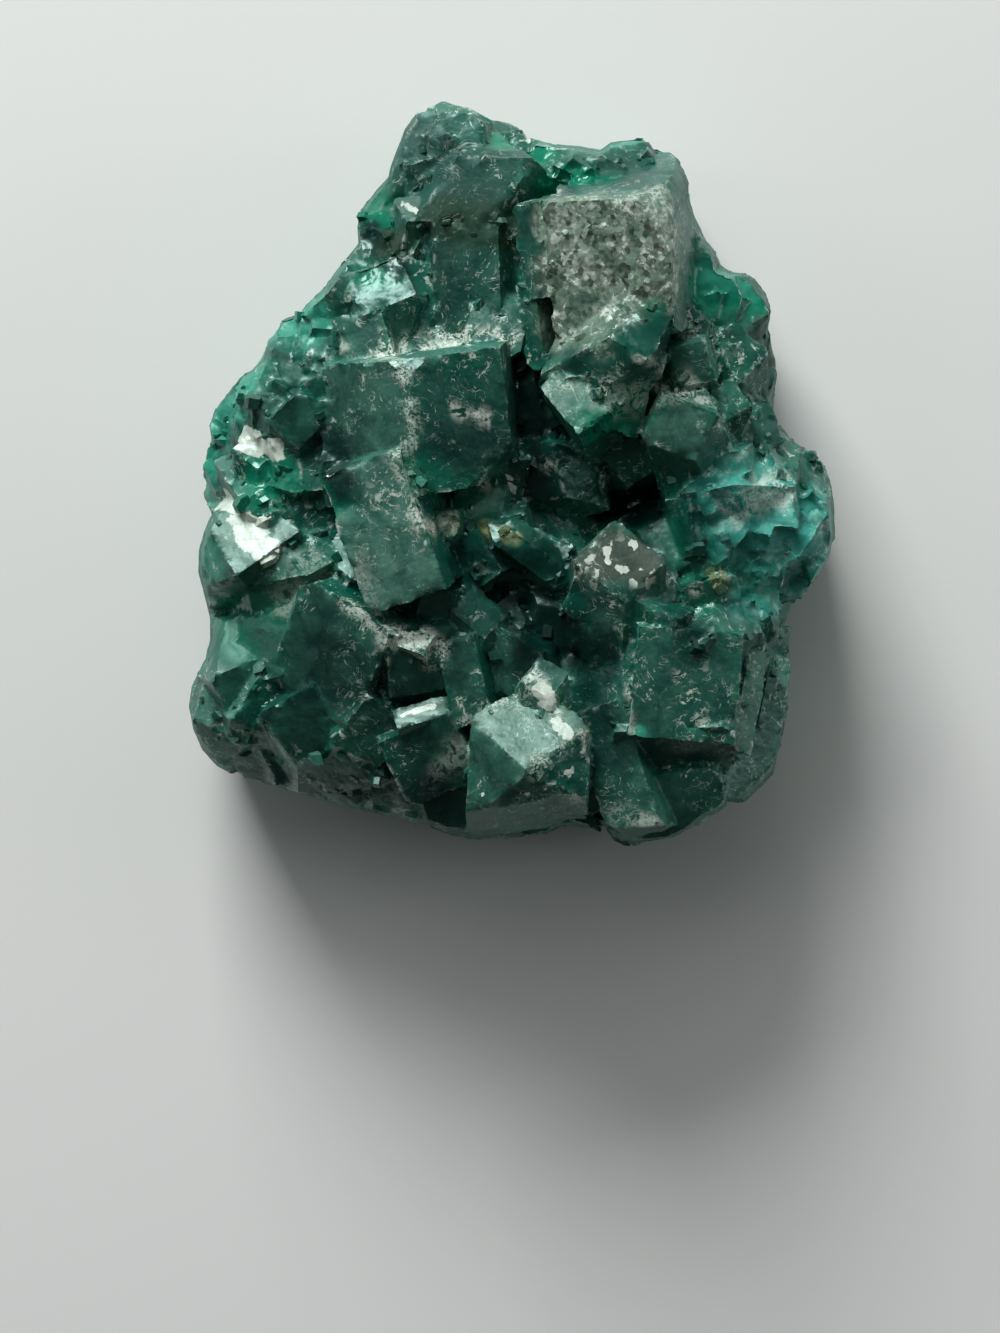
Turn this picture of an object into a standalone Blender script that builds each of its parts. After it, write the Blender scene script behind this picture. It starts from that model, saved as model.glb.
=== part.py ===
"""A cluster of stubby dioptase crystals, grown into each other and cut off flat at the back.

It lies on the cut back: X to the right, Y to the upper edge, Z up out of the crystals.
All tables are in millimetres and degrees.
"""
import math
import random
from typing import NamedTuple

import bmesh
import bpy
from mathutils import Matrix, Vector
from mathutils.bvhtree import BVHTree

MM = 0.001
SEED = 41

# Crystal form: six prism faces, and three rhombohedron faces at each end.
RHOMB_ANGLE = 50.96
PRISM_AZIMUTHS = (0, 60, 120, 180, 240, 300)
TOP_AZIMUTHS = (30, 150, 270)
BOTTOM_AZIMUTHS = (90, 210, 330)
SIDE_PER_RADIUS = 1.357
BLOCK_SLANT = 5.5
FACE_SPREAD = 0.06
CORNER_CHANCE = 0.35
CORNER_CUT = 0.93
CORNER_STEEP = 0.7
PRISM_PEAK = 1.2

# Every crystal is cut from a cube this many times its length, and ends above the back.
CUBE_SIZE = 6
LOWEST_Z = 0.8
LOWEST_SPREAD = 0.5

# Places are given where the sight line from SIGHT crosses the plane of the rim.
RIM_Z = 5.5
SIGHT = (-0.5, -7.68, 168.5)

# Core: height of each ring and its size as a share of the rim.
CORE_RINGS = (
    (0.0, 0.80),
    (2.4, 0.89),
    (5.5, 0.94),
    (7.6, 0.90),
    (8.8, 0.74),
)
CORE_TOP = 9.0
RIM_RING = 2
CORE_STRIDE = 2
RING_SPREAD = 0.02
HEIGHT_SPREAD = 0.3
PIT_SPREAD = 0.15

# Envelope that the crystals are worn down to, in the same terms.
ENVELOPE_RINGS = (
    (-1.0, 0.90),
    (2.5, 0.975),
    (5.5, 1.003),
    (8.0, 0.995),
    (10.3, 0.965),
    (12.2, 0.91),
    (13.4, 0.82),
    (14.3, 0.62),
)
ENVELOPE_TOP = 14.7

# Crystals that cover the core under the named ones.
FILL_STEP = 3.1
FILL_SHARE = 0.84
FILL_Z = 10.2
FILL_FALL = 0.011
FILL_SIDE = 2.1
FILL_CLEAR = 0.8
FILL_JITTER = 0.7
FILL_LEANS = (5, 32)
FILL_SIZES = (0.8, 1.2)
FILL_LENGTH = 3
FILL_REACH = 16

# Crystals round the sides: height of each row, and its place as a share of the rim.
SIDE_ROWS = ((2.4, 0.92), (5.2, 0.955), (7.6, 0.925))
SIDE_STEP = 2.8
SIDE_LEANS = (45, 88)
SIDE_SWING = 30
SIDE_SIZES = (2.3, 3.3)
SIDE_LENGTH = 2.5

# Small crystals that stand on the others.
DRUSE_SIZES = (0.75, 1.4)
DRUSE_LEANS = (5, 35)
DRUSE_LENGTH = 3.2
DRUSE_LIFT = 0.25
ABOVE_ALL = 20

RIM = (
    (-2.64, 14.86), (-2.00, 14.62), (-1.29, 14.27), (-0.81, 14.00), (-0.22, 13.97), (0.22, 13.80),
    (0.58, 13.45), (1.09, 13.20), (1.73, 13.02), (2.60, 12.97), (3.47, 12.80), (3.91, 13.08),
    (5.06, 13.25), (5.62, 13.20), (6.09, 12.93), (6.53, 12.57), (6.85, 12.10), (7.03, 11.55),
    (7.00, 11.03), (7.24, 10.24), (7.68, 9.33), (8.08, 8.80), (8.27, 8.28), (8.67, 7.97),
    (9.19, 7.93), (9.66, 7.65), (10.05, 7.17), (10.25, 6.46), (10.13, 5.75), (10.25, 4.96),
    (10.53, 3.96), (10.46, 3.28), (10.76, 2.50), (10.88, 1.75), (11.20, 1.27), (11.80, 0.83),
    (12.27, 0.44), (12.58, -0.20), (12.75, -1.07), (12.79, -2.45), (12.63, -3.25), (12.27, -3.85),
    (11.99, -4.37), (11.56, -4.80), (11.28, -5.52), (11.04, -6.23), (11.00, -7.02), (11.08, -7.74),
    (11.00, -8.37), (10.88, -9.40), (10.68, -10.66), (10.41, -11.82), (9.89, -12.45), (9.18, -13.05),
    (8.31, -13.56), (7.59, -13.96), (7.03, -14.39), (6.24, -14.75), (5.26, -14.83), (4.42, -14.75),
    (3.71, -14.39), (3.00, -14.08), (1.96, -14.04), (1.33, -14.32), (0.30, -14.47), (-0.65, -14.59),
    (-1.69, -14.66), (-2.68, -14.47), (-3.47, -14.12), (-4.46, -13.68), (-5.65, -13.44), (-6.85, -13.12),
    (-8.22, -12.77), (-9.41, -12.45), (-10.80, -12.05), (-11.68, -11.62), (-12.31, -10.98),
    (-12.70, -10.12), (-12.86, -9.25), (-12.74, -8.45), (-12.47, -7.86), (-12.19, -7.34),
    (-11.99, -6.51), (-11.99, -5.63), (-12.19, -4.80), (-12.46, -3.93), (-12.46, -3.02),
    (-12.23, -2.30), (-11.95, -1.63), (-12.19, -0.95), (-12.38, 0.20), (-12.15, 0.83),
    (-11.91, 1.39), (-11.99, 1.90), (-11.80, 2.58), (-11.28, 3.17), (-10.76, 3.85), (-10.33, 4.09),
    (-9.93, 4.56), (-9.69, 5.24), (-9.10, 6.07), (-8.50, 6.39), (-8.07, 6.87), (-7.47, 7.42),
    (-7.11, 7.97), (-6.60, 8.48), (-6.13, 9.08), (-6.16, 9.79), (-6.00, 10.47), (-5.50, 11.10),
    (-4.94, 11.74), (-4.78, 12.33), (-4.46, 13.12), (-4.27, 13.72), (-3.91, 14.24), (-3.67, 14.62),
    (-3.23, 14.76),
)


class Pit(NamedTuple):
    """A hollow in the core between the crystals."""

    name: str
    x: float
    y: float
    z: float
    radius: float


class Crystal(NamedTuple):
    """A crystal placed by the middle of its foremost rhombohedron face.

    lean and toward give how far and which way that face leans, corner which way its peak lies.
    """

    name: str
    x: float
    y: float
    z: float
    lean: float
    toward: float
    corner: float
    side: float
    length: float


class Block(NamedTuple):
    """A crystal of three pairs of rhombohedron faces, placed by the middle of its foremost face."""

    name: str
    x: float
    y: float
    z: float
    lean: float
    toward: float
    turn: float
    width: float
    height: float
    depth: float


class Prism(NamedTuple):
    """A crystal seen from its side, placed by its middle. above and below are where it is broken off."""

    name: str
    x: float
    y: float
    z: float
    pointing: float
    rise: float
    spin: float
    radius: float
    above: float
    below: float


class Druse(NamedTuple):
    """A patch strewn with small crystals."""

    name: str
    x: float
    y: float
    reach: float
    count: int
    side: float


PITS = (
    Pit("cavity", 4.7, -0.9, 9.4, 2.7),
    Pit("cavity_left", 2.9, 0.1, 10.0, 2.0),
    Pit("valley_upper", 0.8, 1.7, 10.4, 2.1),
    Pit("valley_lower", 0.8, -5.6, 10.4, 1.2),
    Pit("upper_gap", -0.4, 10.2, 10.2, 1.2),
    Pit("left_gap", -4.4, 0.3, 10.8, 1.6),
)

PRISMS = (
    Prism("centre_left_block", -3.5, 2.4, 8.8, 97, 10, -10, 3.55, 2.5, 2.7),
    Prism("upper_middle_block", -1.7, 7.7, 7.6, 92, 4, 25, 2.2, 2.3, 2.3),
    Prism("lower_right_edge_block", 8.2, -9.6, 6.4, 84, -4, 5, 2.5, 3.7, 3.3),
)

BLOCKS = (
    Block("upper_right_block", 3.85, 8.2, 12.3, 20, 236, 5, 4.9, 5.5, 6.5),
    Block("upper_right_flank", 0.75, 8.9, 11.4, 40, 195, 8, 1.4, 3.6, 4.0),
    Block("valley_blade", 0.75, 5.8, 10.7, 32, 200, 8, 0.8, 3.2, 4.0),
    Block("top_ridge", 2.45, 12.2, 8.6, 36, 80, -8, 3.4, 1.9, 4.0),
    Block("left_plate", -5.15, -2.3, 12.4, 12, 215, 20, 3.2, 5.7, 6.0),
    Block("pale_plate", 2.5, 2.95, 12.1, 16, 100, -54, 2.6, 1.7, 4.5),
    Block("pale_plate_top", 3.7, 4.6, 11.5, 34, 88, 6, 3.3, 1.7, 4.0),
    Block("teal_flank", 4.5, 2.8, 11.4, 38, 335, -15, 1.9, 2.6, 4.0),
    Block("left_shade", -6.6, 1.8, 10.6, 26, 205, 10, 2.4, 2.4, 4.0),
    Block("small_ledge", 8.55, 0.3, 10.8, 12, 200, 16, 1.6, 1.0, 3.5),
    Block("teal_patch", 9.9, -1.2, 9.9, 14, 70, 4, 2.5, 1.9, 4.0),
    Block("sparkle_foot", 3.8, -5.5, 11.3, 22, 245, -28, 3.4, 1.9, 4.5),
    Block("lower_right_block", 6.9, -8.4, 11.4, 8, 320, -5, 4.0, 4.2, 6.5),
    Block("lower_right_slope", 6.4, -11.1, 10.3, 46, 272, 4, 4.6, 2.6, 5.0),
    Block("lower_right_upper", 4.9, -6.6, 11.1, 20, 215, -24, 2.4, 3.0, 5.0),
    Block("lower_right_face", 4.15, -12.0, 10.7, 18, 195, 17, 2.0, 5.2, 6.0),
    Block("lower_right_foot", 6.0, -13.4, 9.6, 24, 280, 10, 4.7, 2.9, 5.5),
    Block("right_blade", 9.5, -9.0, 9.9, 32, 2, -12, 1.0, 4.2, 4.5),
    Block("right_splinter", 10.2, -8.9, 8.7, 38, 352, -12, 0.6, 2.4, 3.5),
    Block("middle_plate", 0.95, -3.1, 10.1, 20, 95, -27, 2.3, 1.8, 4.0),
    Block("middle_shard", -1.3, -1.0, 10.3, 14, 130, -12, 1.9, 1.3, 3.5),
    Block("middle_wedge", -1.7, -3.5, 10.5, 24, 195, 30, 1.8, 2.0, 3.5),
    Block("grey_blade", -1.95, -8.3, 11.1, 16, 205, 12, 1.5, 3.3, 4.5),
    Block("lower_glint", -3.65, -9.5, 11.1, 38, 98, 20, 2.2, 0.9, 3.5),
    Block("lower_steps", -3.3, -11.4, 10.7, 20, 262, 27, 3.0, 3.0, 5.0),
    Block("bottom_block", -1.6, -12.9, 9.9, 28, 262, 18, 4.0, 3.0, 5.0),
    Block("pale_ridge", -4.4, -6.5, 11.3, 32, 92, -28, 2.3, 0.9, 3.5),
    Block("inner_wall", 3.5, -8.3, 10.5, 28, 178, -10, 2.4, 3.6, 4.5),
    Block("cavity_wall", 6.4, -1.3, 9.9, 52, 188, 4, 2.0, 3.8, 3.5),
)

CRYSTALS = (
    Crystal("top_left_block", -2.75, 13.0, 8.9, 12, 110, 42, 3.1, 8.0),
    Crystal("top_left_shoulder", -1.3, 12.5, 8.0, 34, 20, 110, 2.2, 6.0),
    Crystal("top_bump", -0.1, 13.1, 6.9, 34, 75, 60, 1.5, 5.0),
    Crystal("top_sliver", 0.35, 12.35, 8.4, 28, 40, 120, 1.2, 4.5),
    Crystal("mint_cap", 5.3, 12.2, 7.8, 38, 80, 40, 2.3, 7.0),
    Crystal("mint_shoulder", 6.2, 11.0, 8.0, 42, 25, 75, 2.1, 7.0),
    Crystal("green_undercut", 2.6, 11.2, 9.0, 30, 250, 90, 2.2, 6.0),
    Crystal("bright_green_lump", 5.1, 5.9, 12.5, 22, 70, 20, 2.1, 6.5),
    Crystal("bright_green_side", 4.1, 5.4, 11.9, 30, 200, 80, 1.3, 5.0),
    Crystal("olive_hollow", -0.9, 11.0, 9.3, 26, 285, 100, 2.5, 6.5),
    Crystal("olive_corner", -3.0, 10.6, 9.0, 30, 220, 60, 1.8, 6.0),
    Crystal("left_green", -5.0, 9.6, 8.5, 28, 150, 60, 2.2, 7.0),
    Crystal("left_glint", -4.05, 10.6, 9.4, 20, 105, 75, 1.0, 4.5),
    Crystal("left_pale", -5.3, 10.9, 7.4, 32, 142, 30, 1.5, 5.0),
    Crystal("slope_high", -5.2, 7.5, 10.1, 22, 125, 70, 2.1, 7.0),
    Crystal("slope_middle", -6.9, 6.8, 9.2, 24, 138, 40, 2.0, 7.0),
    Crystal("slope_low", -5.9, 5.5, 10.3, 16, 155, 60, 1.9, 6.0),
    Crystal("slope_edge", -6.4, 8.2, 8.2, 34, 135, 80, 1.5, 5.5),
    Crystal("mint_edge_high", -8.8, 5.5, 7.9, 26, 140, 60, 1.7, 5.5),
    Crystal("mint_edge_low", -9.5, 4.5, 7.6, 28, 150, 30, 1.5, 5.5),
    Crystal("small_square", -8.65, 3.95, 9.4, 10, 135, 50, 1.1, 4.5),
    Crystal("small_green", -7.6, 4.6, 9.2, 30, 60, 100, 1.3, 5.0),
    Crystal("diamond", -8.5, 2.15, 10.3, 8, 265, 92, 1.65, 6.0),
    Crystal("mint_left", -10.9, 2.7, 7.4, 30, 150, 100, 2.0, 6.0),
    Crystal("mint_bulge", -11.35, 0.4, 7.0, 34, 165, 75, 2.0, 6.5),
    Crystal("glint_square", -10.1, 1.1, 9.2, 24, 112, 95, 1.5, 5.0),
    Crystal("green_between", -8.9, -0.3, 8.9, 36, 60, 120, 2.2, 6.5),
    Crystal("left_lump", -10.5, -2.1, 9.5, 30, 118, 345, 3.0, 8.5),
    Crystal("left_lump_low", -9.5, -4.6, 9.4, 22, 225, 60, 2.4, 7.5),
    Crystal("left_lump_edge", -11.4, -4.2, 7.4, 36, 190, 40, 1.8, 6.5),
    Crystal("left_chip", -11.2, -6.5, 7.0, 30, 178, 70, 1.4, 5.0),
    Crystal("corner_crystal", -11.3, -9.1, 8.3, 20, 165, 25, 2.5, 7.5),
    Crystal("corner_shade", -9.7, -9.2, 8.9, 30, 330, 110, 2.1, 6.5),
    Crystal("lower_left_mass", -7.2, -7.2, 10.6, 27, 200, 18, 4.1, 9.5),
    Crystal("lower_left_front", -3.7, -7.6, 11.0, 24, 300, 140, 2.7, 8.0),
    Crystal("lower_left_base", -8.3, -10.1, 9.7, 24, 240, 75, 2.4, 7.0),
    Crystal("lower_left_middle", -5.6, -10.3, 10.4, 24, 282, 100, 2.2, 7.0),
    Crystal("bottom_left", -8.9, -11.3, 7.9, 36, 250, 60, 2.2, 6.5),
    Crystal("bottom_left_low", -6.4, -12.0, 8.3, 38, 268, 90, 2.4, 6.5),
    Crystal("bottom_left_end", -4.6, -12.9, 8.0, 40, 255, 45, 1.9, 6.0),
    Crystal("bright_rhomb", 0.65, -9.95, 12.0, 36, 90, 86, 3.1, 8.4),
    Crystal("behind_rhomb", 1.3, -8.2, 11.6, 26, 70, 100, 1.3, 5.0),
    Crystal("dark_centre", -0.35, -7.6, 10.5, 24, 204, 104, 2.2, 6.5),
    Crystal("centre_facets", -1.3, -5.5, 10.7, 26, 45, 90, 1.6, 6.0),
    Crystal("centre_chip", -3.0, -5.3, 10.9, 22, 250, 30, 1.3, 5.0),
    Crystal("crust_chip", -2.85, -1.9, 11.0, 18, 150, 45, 1.1, 4.5),
    Crystal("crust_ledge", -0.4, -2.2, 10.9, 30, 110, 150, 1.0, 4.5),
    Crystal("valley_chip", 1.6, -6.3, 9.8, 18, 240, 300, 1.8, 5.5),
    Crystal("bottom_dark", 2.4, -12.6, 8.9, 34, 280, 60, 2.2, 6.5),
    Crystal("sparkle_block", 4.25, -3.35, 11.5, 16, 62, 92, 2.45, 7.5),
    Crystal("sparkle_side", 5.9, -4.3, 10.7, 28, 20, 70, 1.7, 6.0),
    Crystal("cavity_floor", 2.2, -0.6, 8.6, 16, 250, 280, 1.9, 5.5),
    Crystal("valley_step", 0.7, 2.5, 9.5, 24, 205, 250, 2.1, 6.0),
    Crystal("valley_floor", 0.6, -0.1, 9.9, 24, 236, 150, 2.3, 6.0),
    Crystal("cavity_tooth", 4.7, 0.45, 9.3, 26, 250, 80, 1.7, 5.5),
    Crystal("right_plate", 6.6, 1.85, 11.7, 12, 250, 112, 2.15, 7.0),
    Crystal("right_plate_top", 7.3, 2.6, 11.2, 30, 60, 140, 1.3, 5.0),
    Crystal("right_square", 7.75, -0.75, 10.7, 12, 300, 80, 1.45, 5.5),
    Crystal("grey_cube", 7.15, 4.3, 11.0, 14, 255, 60, 1.55, 6.0),
    Crystal("grey_diamond", 7.15, 5.9, 10.3, 10, 10, 92, 1.1, 5.0),
    Crystal("white_chip", 5.5, 4.55, 11.9, 16, 70, 30, 1.0, 4.5),
    Crystal("upper_right_green", 8.75, 6.7, 8.5, 26, 48, 80, 2.3, 7.0),
    Crystal("upper_right_edge", 9.35, 5.6, 8.2, 32, 10, 50, 1.7, 6.0),
    Crystal("right_upper", 9.0, 4.8, 9.2, 20, 35, 90, 1.7, 6.0),
    Crystal("right_kite", 8.6, 3.0, 10.1, 16, 60, 75, 1.3, 5.0),
    Crystal("right_upper_edge", 9.7, 3.6, 8.2, 34, 5, 120, 1.7, 6.0),
    Crystal("right_middle", 9.7, 1.9, 8.9, 26, 25, 60, 1.8, 6.5),
    Crystal("right_shoulder", 11.0, 0.15, 7.8, 34, 42, 95, 2.1, 6.5),
    Crystal("right_bulge", 11.6, -2.2, 7.4, 34, 0, 60, 2.3, 6.5),
    Crystal("right_bulge_low", 11.1, -4.0, 7.5, 36, 320, 30, 1.8, 6.0),
    Crystal("teal_low", 9.8, -3.3, 9.4, 22, 300, 75, 1.9, 6.5),
    Crystal("teal_bright", 10.0, -4.7, 8.9, 28, 305, 45, 1.8, 6.0),
    Crystal("right_lower", 9.7, -6.1, 9.1, 24, 320, 100, 1.7, 6.0),
    Crystal("dark_right", 8.0, -5.3, 10.2, 22, 290, 60, 2.0, 6.5),
    Crystal("dark_right_high", 7.4, -3.0, 10.1, 26, 200, 80, 1.7, 6.0),
    Crystal("mint_speck", 10.6, -7.6, 7.2, 26, 20, 60, 0.9, 4.0),
)

DRUSES = (
    Druse("right_crust", 10.4, -1.4, 2.7, 7, 0.75),
    Druse("right_rough", 9.2, 3.9, 2.0, 4, 0.6),
    Druse("teal_crust", 10.0, -4.6, 1.4, 3, 0.55),
    Druse("left_rough", -9.9, 2.9, 2.2, 3, 0.6),
    Druse("slope_rough", -5.6, 8.0, 2.2, 3, 0.6),
    Druse("bottom_rough", -6.6, -11.2, 3.0, 2, 0.7),
    Druse("top_rough", 1.4, 11.8, 1.8, 3, 0.6),
    Druse("middle_rough", 0.1, -5.0, 2.2, 3, 0.55),
)


def clear_scene():
    for obj in list(bpy.data.objects):
        bpy.data.objects.remove(obj, do_unlink=True)


def new_collection(name, hidden):
    made = bpy.data.collections.new(name)
    made.hide_render = hidden
    bpy.context.scene.collection.children.link(made)
    return made


def true_place(x, y, z):
    """The point at height z on the sight line that crosses the rim plane at x, y."""
    reach = (SIGHT[2] - z) / (SIGHT[2] - RIM_Z)
    return Vector((SIGHT[0] + (x - SIGHT[0]) * reach, SIGHT[1] + (y - SIGHT[1]) * reach, z))


def compass(angle):
    return Vector((math.cos(math.radians(angle)), math.sin(math.radians(angle)), 0))


def leaning_normal(lean, toward):
    tilt = math.radians(lean)
    return compass(toward) * math.sin(tilt) + Vector((0, 0, math.cos(tilt)))


def in_plane(direction, normal):
    return (direction - normal * direction.dot(normal)).normalized()


def add_object(name, bm, collection, material, wire):
    mesh = bpy.data.meshes.new(name)
    bm.to_mesh(mesh)
    bm.free()
    mesh.materials.append(material)
    obj = bpy.data.objects.new(name, mesh)
    if wire:
        obj.display_type = "WIRE"
        obj.hide_render = True
    collection.objects.link(obj)
    return obj


def solid_between(planes, centre, size):
    """The convex solid left of a cube round centre when each plane (normal, distance) has cut it.

    It ends at LOWEST_Z or a little above, so that the cut back stays flat.
    """
    bm = bmesh.new()
    bmesh.ops.create_cube(bm, size=size, matrix=Matrix.Translation(centre))
    lowest = LOWEST_Z + LOWEST_SPREAD * ((centre.x + 2 * centre.y) % 1)
    floor = (Vector((0, 0, -1)), centre.z - lowest)
    for normal, distance in [*planes, floor]:
        cut = bmesh.ops.bisect_plane(
            bm,
            geom=bm.verts[:] + bm.edges[:] + bm.faces[:],
            plane_co=centre + normal * distance,
            plane_no=normal,
            clear_outer=True,
        )
        rim = [item for item in cut["geom_cut"] if isinstance(item, bmesh.types.BMEdge)]
        if rim:
            bmesh.ops.contextual_create(bm, geom=rim)
    bmesh.ops.scale(bm, vec=(MM, MM, MM), verts=bm.verts)
    bmesh.ops.recalc_face_normals(bm, faces=bm.faces)
    return bm


def spread(rng):
    return 1 + rng.uniform(-FACE_SPREAD, FACE_SPREAD)


def crystal_planes(axis, outward, radius, peak, rng):
    """Prism and rhombohedron planes round an axis. outward is where the azimuth of 30 points."""
    across = axis.cross(outward)
    slope = math.radians(RHOMB_ANGLE)

    def around(azimuth):
        turn = math.radians(azimuth - TOP_AZIMUTHS[0])
        return outward * math.cos(turn) + across * math.sin(turn)

    planes = [(around(azimuth), radius * spread(rng)) for azimuth in PRISM_AZIMUTHS]
    for azimuths, end in ((TOP_AZIMUTHS, axis), (BOTTOM_AZIMUTHS, -axis)):
        for azimuth in azimuths:
            normal = around(azimuth) * math.sin(slope) + end * math.cos(slope)
            exact = end is axis and azimuth == TOP_AZIMUTHS[0]
            planes.append((normal, peak * math.cos(slope) * (1 if exact else spread(rng))))
    return planes


def crystal_solid(spec, rng):
    normal = leaning_normal(spec.lean, spec.toward)
    uphill = in_plane(compass(spec.corner), normal)
    slope = math.radians(RHOMB_ANGLE)
    axis = normal * math.cos(slope) + uphill * math.sin(slope)
    outward = normal * math.sin(slope) - uphill * math.cos(slope)
    radius = spec.side / SIDE_PER_RADIUS
    peak = spec.length / 2
    edge_reach = radius / math.cos(math.radians(30))
    drop = edge_reach / 2 * math.tan(slope)
    face_middle = true_place(spec.x, spec.y, spec.z)
    centre = face_middle - outward * (edge_reach / 2) - axis * (peak - drop)
    planes = crystal_planes(axis, outward, radius, peak, rng)
    return solid_between(planes, centre, CUBE_SIZE * spec.length)


def block_solid(spec, rng):
    normal = leaning_normal(spec.lean, spec.toward)
    along = in_plane(compass(spec.turn), normal)
    up = normal.cross(along)
    slant = math.radians(BLOCK_SLANT)
    half = spec.depth / 2
    centre = true_place(spec.x, spec.y, spec.z) - normal * half
    sides = []
    for direction, reach in ((along, spec.width / 2), (up, spec.height / 2)):
        outward = direction * math.cos(slant) + normal * math.sin(slant)
        shift = half * math.sin(slant)
        sides.append((outward, reach * spread(rng) + shift))
        sides.append((-outward, reach * spread(rng) - shift))
    planes = [(normal, half), (-normal, half)] + sides
    for a in (-1, 1):
        for b in (-1, 1):
            if rng.random() < CORNER_CHANCE:
                corner = along * (a * spec.width / 2) + up * (b * spec.height / 2) + normal * half
                facing = (along * a + up * b + normal * CORNER_STEEP).normalized()
                planes.append((facing, corner.dot(facing) * CORNER_CUT))
    size = max(spec.depth, spec.width, spec.height)
    return solid_between(planes, centre, CUBE_SIZE * size)


def prism_solid(spec, rng):
    rise = math.radians(spec.rise)
    axis = compass(spec.pointing) * math.cos(rise) + Vector((0, 0, math.sin(rise)))
    front = in_plane(Vector((0, 0, 1)), axis)
    outward = Matrix.Rotation(math.radians(spec.spin), 3, axis) @ front
    centre = true_place(spec.x, spec.y, spec.z)
    peak = max(spec.above, spec.below) + PRISM_PEAK * spec.radius
    planes = crystal_planes(axis, outward, spec.radius, peak, rng)
    planes += [(axis, spec.above), (-axis, spec.below)]
    return solid_between(planes, centre, CUBE_SIZE * max(spec.above, spec.below))


def loft_solid(shape, top_z, rough, rng):
    """A loft of rings, each a share of the rim. rough jitters all but the back and the rim itself."""
    rim = RIM[::CORE_STRIDE] if rough else RIM
    bm = bmesh.new()
    rings = []
    for index, (height, share) in enumerate(shape):
        ring = []
        for x, y in rim:
            jitter = 0
            lift = 0
            if rough and index != RIM_RING:
                jitter = rng.uniform(-RING_SPREAD, RING_SPREAD)
            if rough and index != 0:
                lift = rng.uniform(-HEIGHT_SPREAD, HEIGHT_SPREAD)
            size = share + jitter
            place = true_place(x * size, y * size, height + lift)
            ring.append(bm.verts.new(place * MM))
        rings.append(ring)
    count = len(rim)
    for low, high in zip(rings, rings[1:]):
        for i in range(count):
            j = (i + 1) % count
            bm.faces.new((low[i], low[j], high[j], high[i]))
    top = bm.verts.new(true_place(0, 0, top_z) * MM)
    foot = bm.verts.new(Vector((0, 0, shape[0][0])) * MM)
    for i in range(count):
        j = (i + 1) % count
        bm.faces.new((rings[-1][i], rings[-1][j], top))
        bm.faces.new((rings[0][j], rings[0][i], foot))
    bmesh.ops.recalc_face_normals(bm, faces=bm.faces)
    bmesh.ops.triangulate(bm, faces=bm.faces)
    return bm


def inside_rim(x, y):
    """Whether x, y is inside the rim, by the crossings of a line to its right."""
    crossings = 0
    for (x0, y0), (x1, y1) in zip(RIM, RIM[1:] + RIM[:1]):
        if (y0 > y) != (y1 > y) and x < x0 + (y - y0) * (x1 - x0) / (y1 - y0):
            crossings += 1
    return crossings % 2 == 1


def fillers(rng):
    """Crystals of middling size on a jittered grid over the core, lower towards the rim, none in a pit."""
    reach = int(FILL_REACH / FILL_STEP)
    for column in range(-reach, reach + 1):
        for row in range(-reach, reach + 1):
            x = column * FILL_STEP + rng.uniform(-FILL_JITTER, FILL_JITTER)
            y = (row + 0.5 * (column % 2)) * FILL_STEP + rng.uniform(-FILL_JITTER, FILL_JITTER)
            lean = rng.uniform(*FILL_LEANS)
            toward = rng.uniform(0, 360)
            corner = rng.uniform(0, 360)
            side = FILL_SIDE * rng.uniform(*FILL_SIZES)
            z = FILL_Z - FILL_FALL * (x * x + y * y)
            clear = all(math.dist((x, y), (pit.x, pit.y)) > FILL_CLEAR * pit.radius for pit in PITS)
            if clear and inside_rim(x / FILL_SHARE, y / FILL_SHARE):
                name = f"filler_{column}_{row}"
                yield Crystal(name, x, y, z, lean, toward, corner, side, FILL_LENGTH * side)


def side_crystals(rng):
    """Crystals that lean outwards, in rows all round the rim."""
    for row, (z, share) in enumerate(SIDE_ROWS):
        gone = rng.uniform(0, SIDE_STEP)
        for (x0, y0), (x1, y1) in zip(RIM, RIM[1:] + RIM[:1]):
            gone += math.dist((x0, y0), (x1, y1))
            if gone < SIDE_STEP:
                continue
            gone -= SIDE_STEP
            outward = math.degrees(math.atan2(x1 - x0, y0 - y1))
            side = rng.uniform(*SIDE_SIZES)
            yield Crystal(
                f"side_{row}_{x0}_{y0}",
                x0 * share,
                y0 * share,
                z,
                rng.uniform(*SIDE_LEANS),
                outward + rng.uniform(-SIDE_SWING, SIDE_SWING),
                rng.uniform(0, 360),
                side,
                SIDE_LENGTH * side,
            )


def pit_solid(spec, rng):
    bm = bmesh.new()
    bmesh.ops.create_icosphere(bm, subdivisions=2, radius=spec.radius * MM)
    for vert in bm.verts:
        vert.co *= 1 + rng.uniform(-PIT_SPREAD, PIT_SPREAD)
    bmesh.ops.translate(bm, vec=true_place(spec.x, spec.y, spec.z) * MM, verts=bm.verts)
    return bm


def join(obj, operation, collection):
    """Applies a Boolean of every object in the collection to obj."""
    modifier = obj.modifiers.new(operation.lower(), "BOOLEAN")
    modifier.operation = operation
    modifier.solver = "EXACT"
    modifier.operand_type = "COLLECTION"
    modifier.collection = collection
    bpy.context.view_layer.update()
    graph = bpy.context.evaluated_depsgraph_get()
    mesh = bpy.data.meshes.new_from_object(obj.evaluated_get(graph))
    obj.modifiers.clear()
    obj.data = mesh


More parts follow.
